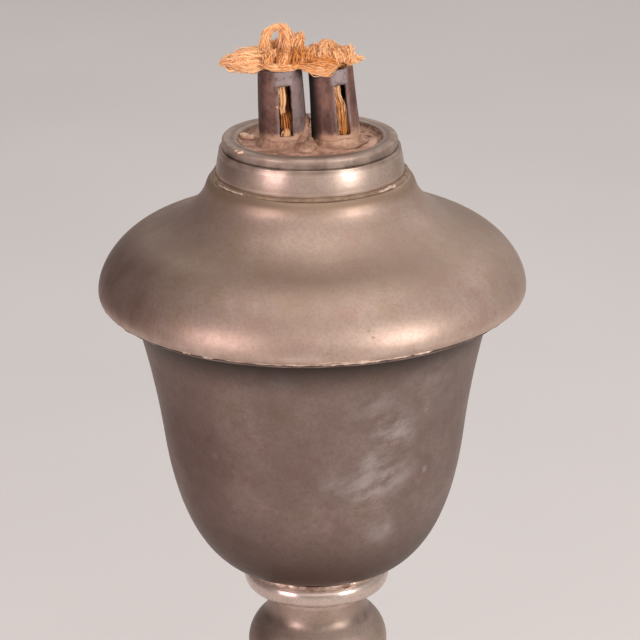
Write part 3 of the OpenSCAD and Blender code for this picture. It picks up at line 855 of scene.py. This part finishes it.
def across(line, hint):
    """Two directions square to a line at each of its points, the first one also square to the hint."""
    along = unit_rows(np.gradient(line, axis=0))
    side = unit_rows(np.cross(along, hint))
    return side, np.cross(along, side)


def wound(spin, side, other):
    return np.cos(spin)[:, None] * side + np.sin(spin)[:, None] * other


def strand(line, radius, sides):
    """A thin closed tube along a line, as (verts, faces)."""
    side, other = across(line, (0.31, 0.9, 0.17))
    turn = np.arange(sides) * TAU / sides
    ring = np.cos(turn)[None, :, None] * side[:, None] + np.sin(turn)[None, :, None] * other[:, None]
    verts = (line[:, None] + ring * np.asarray(radius)[:, None, None]).reshape(-1, 3)
    faces = grid_faces(len(line), sides)
    last = (len(line) - 1) * sides
    faces += [tuple(range(sides))[::-1], tuple(range(last, last + sides))]
    return verts, faces


# A lock's solid core as a share of its girth, and the yarns and their hairs in a plied tail
LOCK_CORE = 0.78
PLIES, PLY_HAIRS = 3, 14


class Wick:
    """One wick, gathered lock by lock in millimetres, kept out of both tubes' walls."""

    def __init__(self, seed, tubes):
        self.shape = Shape()
        self.rng = np.random.default_rng(seed)
        self.tubes = tubes
        self.in_tube = False

    def put(self, verts, faces, tone):
        """A strand, moved clear of the tapering walls over the wick's travel, at varied depth in a tube."""
        verts = np.asarray(verts)
        turns_in = 0.15 if self.in_tube else -0.5 * SHEET
        deeper = 0.45 * abs(math.sin(len(self.shape.verts))) if self.in_tube else 0.0
        for tube in self.tubes:
            local = tube.inward(verts)
            r = np.hypot(local[:, 0], local[:, 1])
            wall = tube.radius(local[:, 2])
            inner = tube.radius(local[:, 2] + WICK_TRAVEL) - SHEET - GAP_INSIDE - deeper
            outer = wall + GAP_OUTSIDE
            hit = (local[:, 2] < tube.top + 0.12) & (local[:, 2] > -3) & (r > inner) & (r < outer)
            clear = np.where(r > wall + turns_in, outer, inner)
            scale = np.where(hit, clear / np.maximum(r, TINY), 1.0)
            local[:, :2] *= scale[:, None]
            verts = tube.outward(local)
        self.shape.add(verts * MM, faces, tone=tone)

    def lock(self, points, girth, count, tone, thick=0.13, frizz=0.42, twist=1.5):
        """A bundle of strands round a line, with some stray hairs; girth is its radius from start to end."""
        rng, steps = self.rng, 6 + 3 * len(points)
        line = smooth_line(points, steps)
        share = np.linspace(0, 1, steps)
        girth = np.interp(share, np.linspace(0, 1, len(girth)), girth)
        side, other = across(line, (0.25, 0.95, 0.1))
        lumps = 1 + 0.1 * np.sin(share * rng.uniform(5, 11) + rng.uniform(0, TAU))
        # The core is painted darker than its strands: painted shade inside the lock
        self.put(*strand(line, LOCK_CORE * girth * lumps, 10), tone - 0.2)
        for k in range(count + count // 4):
            stray = k >= count
            spin = rng.uniform(0, TAU) + twist * rng.uniform(-1, 1) * share
            deep = rng.uniform(1.0, 1.3) if stray else math.sqrt(rng.uniform(0.4, 1.1))
            reach = deep * girth
            path = line + reach[:, None] * wound(spin, side, other)
            waver = sum(
                np.sin(share * rng.uniform(4, 22) + rng.uniform(0, TAU))[:, None] * rng.normal(0, 1, 3)
                for _ in range(3)
            )
            loose = frizz * (1.5 if stray else 1.0)
            path = path + loose * (0.25 + 0.75 * share)[:, None] * waver * 0.4
            start = int(rng.uniform(0, 0.4) * steps)
            stop = steps - int(rng.uniform(0, 0.3) * steps)
            path = path[start:stop]
            t = np.linspace(0, 1, len(path))
            radius = thick * (0.5 if stray else rng.uniform(0.6, 1.35))
            radius = radius * (1 - 0.75 * t**4) * (0.5 + 0.5 * soft_step(t, 0, 0.1))
            # Strands deeper in the lock are painted darker: painted shade inside the lock
            shade = tone + rng.normal(0, 0.13) + 0.16 * (deep - 0.8) + 0.16 * (t - 0.5)
            self.put(*strand(path, radius, 4), np.repeat(shade, 4))

    def ply(self, line, radius, turns, tone):
        """Yarns twisted together along a line."""
        steps = len(line)
        share = np.linspace(0, 1, steps)
        side, other = across(line, (0, 1.0, 0))
        for k in range(PLIES):
            spin = TAU * (k / PLIES + turns * share)
            path = line + 0.52 * radius * wound(spin, side, other)
            self.put(*strand(path, np.full(steps, 0.46 * radius), 9), tone)
            for _ in range(PLY_HAIRS):
                wind = self.rng.uniform(0, TAU) + 3 * TAU * turns * share
                hair = path + 0.46 * radius * wound(wind, side, other)
                self.put(*strand(hair, np.full(steps, 0.13), 4), tone + self.rng.normal(0.06, 0.1))


# Each lock: points, girth from start to end, strands and tone from 0 dark to 1 pale
LEFT_LOCKS = [
    ([(-5, 0, 11), (-5.1, -0.2, 13.4), (-4.7, -0.5, 15.8)], [2.3, 2.8, 1.6], 50, 0.3),
    ([(-5.6, -1.2, 13.4), (-8.2, -1.6, 14), (-11, -1.8, 13.8), (-13.4, -1.6, 13.7), (-15.3, -1.2, 13.5)],
     [1.4, 1.7, 1.7, 1.2, 0.3], 120, 0.84),
    ([(-6.5, -0.6, 14.2), (-9, -0.6, 14.6), (-11.6, -0.8, 14.7), (-13.4, -0.9, 14.4)],
     [1, 0.85, 0.75, 0.3], 60, 0.76),
    ([(-7.4, -2.2, 13.7), (-9.6, -2.6, 13.3), (-11.2, -2.4, 13.2), (-13.2, -2, 13.3)],
     [0.8, 1.1, 1, 0.4], 60, 0.95),
    ([(-6.6, -1.2, 13.4), (-7.5, -1, 15.4), (-7.4, -0.7, 17.3), (-6.9, -0.4, 18.6), (-6, -0.2, 19.3),
      (-5, -0.2, 19.5), (-4.3, -0.3, 18.6), (-4.1, -0.6, 17), (-4.6, -1, 14)],
     [1.2, 1.1, 0.75, 0.5, 0.16, 0.2, 0.35, 0.7, 1.2], 70, 0.74),
    ([(-3.9, -1.4, 13.4), (-3.2, -1.2, 15.6), (-3.3, -0.8, 17.6), (-3.9, -0.4, 19.1), (-4.4, -0.2, 19.9)],
     [1.3, 1.2, 0.75, 0.45, 0.18], 70, 0.8),
    ([(-2.4, -1, 13.3), (-2.1, -1, 15.8), (-1.6, -0.6, 17.5), (-1.3, -0.4, 18.5)],
     [1.4, 1.3, 0.8, 0.3], 64, 0.66),
    ([(-7.4, -3, 13.4), (-6.8, -3, 14.7), (-6.3, -2.2, 16)], [0.9, 1.05, 0.6], 56, 0.68),
    ([(-5.4, -2.4, 13.2), (-5, -2.2, 14.6), (-4.6, -1.8, 16)], [0.8, 0.9, 0.6], 40, 0.34),
    ([(-4.9, -3.8, 13.3), (-4.1, -3.5, 14.7), (-3.5, -2.6, 16.3)], [0.85, 0.95, 0.5], 52, 0.6),
    ([(-3, -3.6, 13.4), (-2.4, -3.2, 14.8), (-2, -2.4, 16.4)], [0.85, 0.95, 0.5], 48, 0.4),
    ([(-1.5, -3.2, 13.5), (-1, -3, 14.8), (-0.9, -2.3, 16.5)], [0.8, 0.9, 0.5], 44, 0.42),
    ([(-7.8, -3.5, 13.4), (-5.6, -4.2, 13.2), (-3.6, -4.2, 13.3), (-1.6, -3.7, 13.5)],
     [0.4, 0.5, 0.5, 0.4], 44, 0.7),
    ([(-5.2, 1.5, 13.2), (-5.6, 2.6, 14.8), (-5, 3, 16.4)], [1.5, 1.5, 0.5], 60, 0.62),
    ([(-3, 1.6, 13.2), (-2.4, 2.2, 14.8), (-2, 2.2, 16.6)], [1.4, 1.3, 0.4], 52, 0.7),
    ([(-7, 1.2, 13.3), (-9, 1.4, 14.2), (-11.6, 1, 14.2), (-13.6, 0.2, 13.8)],
     [1.3, 1.3, 1, 0.2], 70, 0.78),
    ([(-6.6, 3, 13.4), (-4.6, 4, 13), (-2.4, 3.4, 13.3)], [0.5, 0.7, 0.4], 36, 0.7),
]
RIGHT_LOCKS = [
    ([(3.9, 0, 11), (3.7, -0.1, 13.4), (3.4, -0.4, 15.2)], [2.3, 2.8, 1.3], 50, 0.3),
    ([(3, -0.8, 13.3), (2.8, -1, 15), (3.1, -0.6, 16.4), (3.2, -0.4, 17.1)],
     [1.6, 1.5, 1, 0.4], 76, 0.72),
    ([(1.6, -1.2, 13.4), (1.4, -1.2, 15), (1.6, -0.8, 16.4)], [1.4, 1.3, 0.5], 56, 0.66),
    ([(1.4, -1.6, 13.5), (0.2, -1.6, 14.2), (-0.2, -1.2, 15.7)], [1.2, 1.2, 0.5], 54, 0.62),
    ([(4.6, -0.8, 13.3), (6.1, -0.8, 14.1), (6.8, -0.4, 15.3), (6.9, -0.2, 16)],
     [1.2, 1.35, 1, 0.4], 70, 0.8),
    ([(5, -0.6, 13.3), (5.4, -0.6, 14.4), (5.6, -0.4, 15.4)], [1.2, 1, 0.5], 46, 0.74),
    ([(5.6, -0.8, 13.4), (7.8, -0.9, 13.7), (9.5, -0.8, 14)], [0.9, 0.5, 0.12], 34, 0.84),
    ([(2.3, -3.1, 13.8), (2.6, -2.9, 14.9), (2.9, -2.1, 16.3)], [1, 1.15, 0.5], 56, 0.74),
    ([(4.6, -2.8, 13.7), (4.9, -2.6, 14.7), (4.5, -1.9, 15.8)], [1, 1.1, 0.5], 52, 0.74),
    ([(0.4, -2.8, 13.8), (0.5, -2.8, 14.8), (0.8, -2.1, 16.1)], [0.9, 1, 0.5], 46, 0.64),
    ([(6.2, -2.2, 13.4), (6.7, -1.9, 14.2), (6.8, -1.2, 15.2)], [0.8, 0.9, 0.5], 40, 0.78),
    ([(-1.2, -3.5, 13.3), (1.2, -3.9, 13.8), (3.6, -3.8, 13.9), (5.4, -3, 13.6)],
     [0.6, 0.75, 0.75, 0.5], 50, 0.38),
    ([(-1.8, -3.5, 13.4), (-0.2, -4.1, 13.2), (1.6, -4.6, 12.9), (3.3, -4.6, 12.8), (4.8, -4, 13.3)],
     [0.4, 0.65, 0.8, 0.7, 0.3], 70, 0.6),
    ([(3.6, 1.6, 13.2), (4, 2.6, 14.5), (3.6, 2.9, 15.9)], [1.5, 1.5, 0.5], 56, 0.66),
    ([(1.6, 1.4, 13.3), (1, 2.2, 14.5), (0.8, 2.3, 15.7)], [1.2, 1.2, 0.4], 46, 0.62),
    ([(5.4, 1.2, 13.3), (6.6, 1.5, 14.3), (7.1, 1.5, 15.2)], [1.2, 1.1, 0.3], 46, 0.74),
    ([(1.6, 3.2, 13.3), (3.8, 4.1, 13.1), (5.6, 3.2, 13.4)], [0.4, 0.7, 0.4], 36, 0.7),
]
# What shows through each slot, as across, out towards the slot and up in the tube
SLOT_LOCKS = {
    "left": [
        ([(-0.8, 1.2, 14.2), (-0.6, 2.5, 10.8), (-0.5, 2.7, 8.4), (-0.6, 2.5, 6.4), (-0.3, 1.6, 5.2)],
         [0.9, 0.75, 0.7, 0.65, 0.6], 40, 0.95),
        ([(0, 0.4, 1), (0.2, 1.8, 3), (0.1, 1.9, 4.4), (0, 1.2, 6.4)],
         [2, 1.2, 1.2, 0.8], 44, 0.14),
        ([(0, 2.7, 1.2), (0.15, 2.95, 2.2), (0.35, 2.6, 3)], [0.8, 0.7, 0.3], 30, 0.8),
        ([(-0.9, 3, 6.6), (-1.2, 3.75, 7), (-1.7, 4.25, 7.5)], [0.2, 0.12, 0.04], 7, 1),
    ],
    "right": [
        ([(-0.8, 1.2, 14.2), (-0.6, 2.5, 10.8), (-0.5, 2.7, 8.6), (0, 2.6, 7)],
         [0.9, 0.7, 0.7, 0.9], 40, 0.72),
        ([(0, 1.9, 1), (0.1, 2.5, 3.2), (0.15, 2.6, 5.4), (0.1, 2.3, 7.8)],
         [1.3, 1.25, 1.25, 1.1], 64, 0.5),
        ([(0.6, 3, 7.6), (0.65, 3.1, 5.6), (0.4, 3, 2.6)], [0.3, 0.45, 0.35], 26, 0.88),
    ],
}
# The plied tail: gaps to the solid's end and to the tube's wall in mm, steps along it and turns of its twist
TAIL_END_GAP, TAIL_GAP, TAIL_STEPS, TAIL_TURNS = 0.6, 0.45, 60, 4
# Loose yarn behind what shows in the slots
BACK_LOCK = ([(0, -0.6, -4), (-0.2, -1, 4), (-0.4, -1.2, 9), (-0.2, -0.6, 13.6)],
             [2.2, 1.6, 1.6, 2.4], 30, 0.3)


def wick(side, locks, tubes, seed):
    """A cotton wick: a plied tail in the font, loose yarn in the tube and a frayed end over its mouth."""
    made, tube = Wick(seed, tubes.values()), tubes[side]
    for points, girth, count, tone in locks:
        made.lock(raised(points, RIM_Z / MM), girth, count, tone)
    turn = math.radians(SLOT_TURN[side])
    made.in_tube = True
    for points, girth, count, tone in SLOT_LOCKS[side] + [BACK_LOCK]:
        s, out, up = np.array(points).T
        sideways = s * math.cos(turn) + out * math.sin(turn)
        back = s * math.sin(turn) - out * math.cos(turn)
        made.lock(tube.outward(np.c_[sideways, back, up]), girth, count, tone, 0.12, 0.1, 0.8)
    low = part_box("wick_" + side)[0].z / MM + TAIL_END_GAP
    foot = (low - tube.origin[2]) / tube.axis[2]
    along = np.linspace(foot, 0.0, TAIL_STEPS)
    tail = np.c_[np.zeros(TAIL_STEPS), np.zeros(TAIL_STEPS), along]
    made.ply(tube.outward(tail), tube.foot_r - SHEET - TAIL_GAP, TAIL_TURNS, 0.45)
    made.shape.finish(f"wick_{side}_finish", COTTON, f"{side}_wick", "cotton", [f"wick_{side}"])


# Bands round the turned pieces, mostly painted shade and shadow, some partly grime: height, reach in mm,
# colour and strength
# Bell: painted shadow under the dome's lip, partly grime, and painted shade darkening towards the bell's foot
BELL_BANDS = [(LIP_Z - 1.5, 8.0, rgb(38, 25, 20), 1.0), (BELL_Z, 21.0, rgb(66, 44, 37), 0.85)]
# Dome: an olive band under the collar, partly olive grime and partly painted shade in the groove, and painted
# shade in the hollow under the shoulder, partly olive mottling
DOME_BANDS = [(NECK_Z - 0.6, 2.0, rgb(136, 109, 84), 0.7), (NECK_Z - 9.6, 4.0, rgb(128, 103, 82), 0.4)]
# Collar: painted shadow under the flange, partly grime, and painted shade dimming the highlight at the
# collar's foot
COLLAR_BANDS = [(FLANGE_Z, 1.5, rgb(98, 72, 56), 0.85), (NECK_Z + 0.4, 1.6, rgb(150, 122, 102), 0.6)]
# Flange: painted shade towards its lower edge and a painted shadow line where it sits on the collar
FLANGE_BANDS = [(FLANGE_Z + 0.5, 1.2, rgb(72, 52, 41), 0.85), (FLANGE_Z, 0.4, rgb(34, 23, 18), 0.9)]

# Materials
DULL = pewter("dull_pewter", rgb(138, 118, 109), rgb(114, 95, 86), 0.46, OXIDE_AND_SHEEN, BELL_SHADE_AND_STAINS, BELL_BANDS,
              bloom=0.4)
SATIN = pewter("satin_pewter", rgb(170, 148, 135), rgb(146, 124, 112), 0.42, (), STEM_SHADE)
DOME = pewter("dome_pewter", rgb(184, 158, 143), rgb(162, 136, 121), 0.45, (), DOME_SHADE, DOME_BANDS,
              coat=0.35)
COLLAR = pewter("collar_pewter", rgb(200, 178, 165), rgb(178, 155, 141), 0.34, (), COLLAR_SHADE_AND_STAINS,
                COLLAR_BANDS)
BRIGHT = pewter("bright_pewter", rgb(196, 177, 167), rgb(174, 154, 144), 0.26, coat=1.0)
FLANGE = pewter("flange_pewter", rgb(170, 147, 133), rgb(122, 99, 86), 0.5, (), (), FLANGE_BANDS, grime=0.3)
NECK = solder_metal("neck_solder", rgb(150, 123, 100), rgb(126, 101, 81), 0.3, 0.55)
SEAM = solder_metal("seam_solder", rgb(208, 182, 166), rgb(124, 94, 78), 0.6, 0.4)
THREAD = solder_metal("solder_threads", rgb(228, 202, 186), rgb(176, 148, 130), 0.4, 0.4)
# The font's seam solder is painted dark: painted shade under the dome's lip, partly grime
DARK = solder_metal("grimy_shaded_solder", rgb(112, 84, 70), rgb(64, 44, 36), 0.3, 0.6)
DUSTY = solder_metal("dusty_solder", rgb(188, 148, 122), rgb(142, 104, 84), 0.2, 0.62)
CRUST = solder_metal("pale_crust", rgb(255, 226, 196), rgb(238, 190, 156), 0.0, 0.6)
RIM_CRUST = solder_metal("rim_crust", rgb(226, 186, 158), rgb(196, 152, 124), 0.0, 0.6)
IRON = tinned_iron()
PLATE = grimy_plate()
COTTON = cotton()


def dress_stem():
    turned("foot", SATIN, "lamp", "pewter", 1.0, 256, 3, dent=0.05)
    turned("foot_solder", SEAM, "lamp", "solder", 0.2, 192, 4, lump=0.08)
    turned("stem_pedestal", SATIN, "lamp", "pewter", 0.6, 128, 5, dent=0.03)
    turned("stem_knop", BRIGHT, "lamp", "bright_pewter", 0.3, 128, 6)
    turned("stem_baluster", SATIN, "lamp", "pewter", 0.6, 128, 7, dent=0.03)
    turned("stem_ring", BRIGHT, "lamp", "bright_pewter", 0.3, 160, 8)
    turned("ring_solder", SEAM, "lamp", "solder", 0.2, 160, 9, lump=0.05)


def dress_font():
    turned("font_bell", DULL, "lamp", "dull_pewter", 0.7, 224, 10, dent=0.05)
    turned("font_seam_solder", DARK, "lamp", "solder", 0.2, 320, 11, lump=0.05)
    turned("font_dome", DOME, "lamp", "pewter", 0.3, 256, 12, dent=0.04,
           swell=[(NECK_Z - drop, push) for drop, push in NECK_SWELL])
    turned("neck_solder", NECK, "lamp", "solder", 0.2, 224, 13, lump=0.04)
    on_dome = outside("font_dome")
    seam_threads = threads_on(SEAM_THREADS, on_dome, LIP_Z + 0.05, 70, 14, 0.22)
    for i, (azimuth, up, size) in enumerate(DOME_NIBS):
        centre = round_axis(azimuth, on_dome(LIP_Z + up), LIP_Z + up)
        nib = blob(centre, (1.4 * size, 0.6 * size, 0.7 * size), math.radians(azimuth), 0.2, 80 + i, 6, 10)
        seam_threads.add(*nib, edge=0.2)
    seam_threads.finish("seam_threads", THREAD, "lamp", "solder")
    collar_threads = threads_on(COLLAR_THREADS, outside("neck_solder"), NECK_Z + 0.3, 90, 5, 0.2)
    collar_threads.finish("collar_threads", THREAD, "lamp", "solder")
    turned("neck_collar", COLLAR, "lamp", "bright_pewter", 0.3, 192, 14, dent=0.03,
           swell=[(NECK_Z + up, push) for up, push in COLLAR_SWELL])


def dress_burner(tubes):
    turned("burner_screw_ring", FLANGE, "screw_ring", "dull_pewter", 0.3, 192, 15, dent=0.06)
    turned("plate_solder", DUSTY, "burner", "solder", 0.2, 160, 16, lump=0.06)
    plate = frame["nodes"]["burner_plate"].data
    plate.materials.clear()
    plate.materials.append(PLATE)
    puddle, floor_crust, rim_crust = Shape(), Shape(), Shape()
    for seed, tube in enumerate(tubes.values()):
        puddle.add(*solder_skirt(tube, 30 + seed))
    for place, size, turn, seed in PUDDLE_LUMPS:
        puddle.add(*blob(raised(place, PLATE_Z), size, turn, 0.1, seed, 14, 24))
    puddle.add(*solder_ridge(tubes["left"]))
    puddle.finish("tube_solder_finish", DUSTY, "burner", "solder", ["tube_solder"])
    for points, girth in CRUST_STREAKS:
        line = smooth_line(raised(points, PLATE_Z), 24)
        verts, faces = strand(line, rough_girth(girth, 24, 38), 10)
        floor_crust.add(verts * MM, faces)
    floor_crust.finish("plate_crust", CRUST, "burner", "solder")
    for place, size, turn, seed in RIM_FLECKS:
        rim_crust.add(*blob(raised(place, RIM_Z / MM), size, turn, 0.2, seed))
    rim_crust.finish("rim_crust", RIM_CRUST, "screw_ring", "solder")
    wick_tube("left", tubes["left"], 41)
    wick_tube("right", tubes["right"], 42)


make_camera()
make_stage()
dress_stem()
dress_font()
tubes = {side: TubeFrame(side) for side in ("left", "right")}
dress_burner(tubes)
wick("left", LEFT_LOCKS, tubes, 51)
wick("right", RIGHT_LOCKS, tubes, 52)
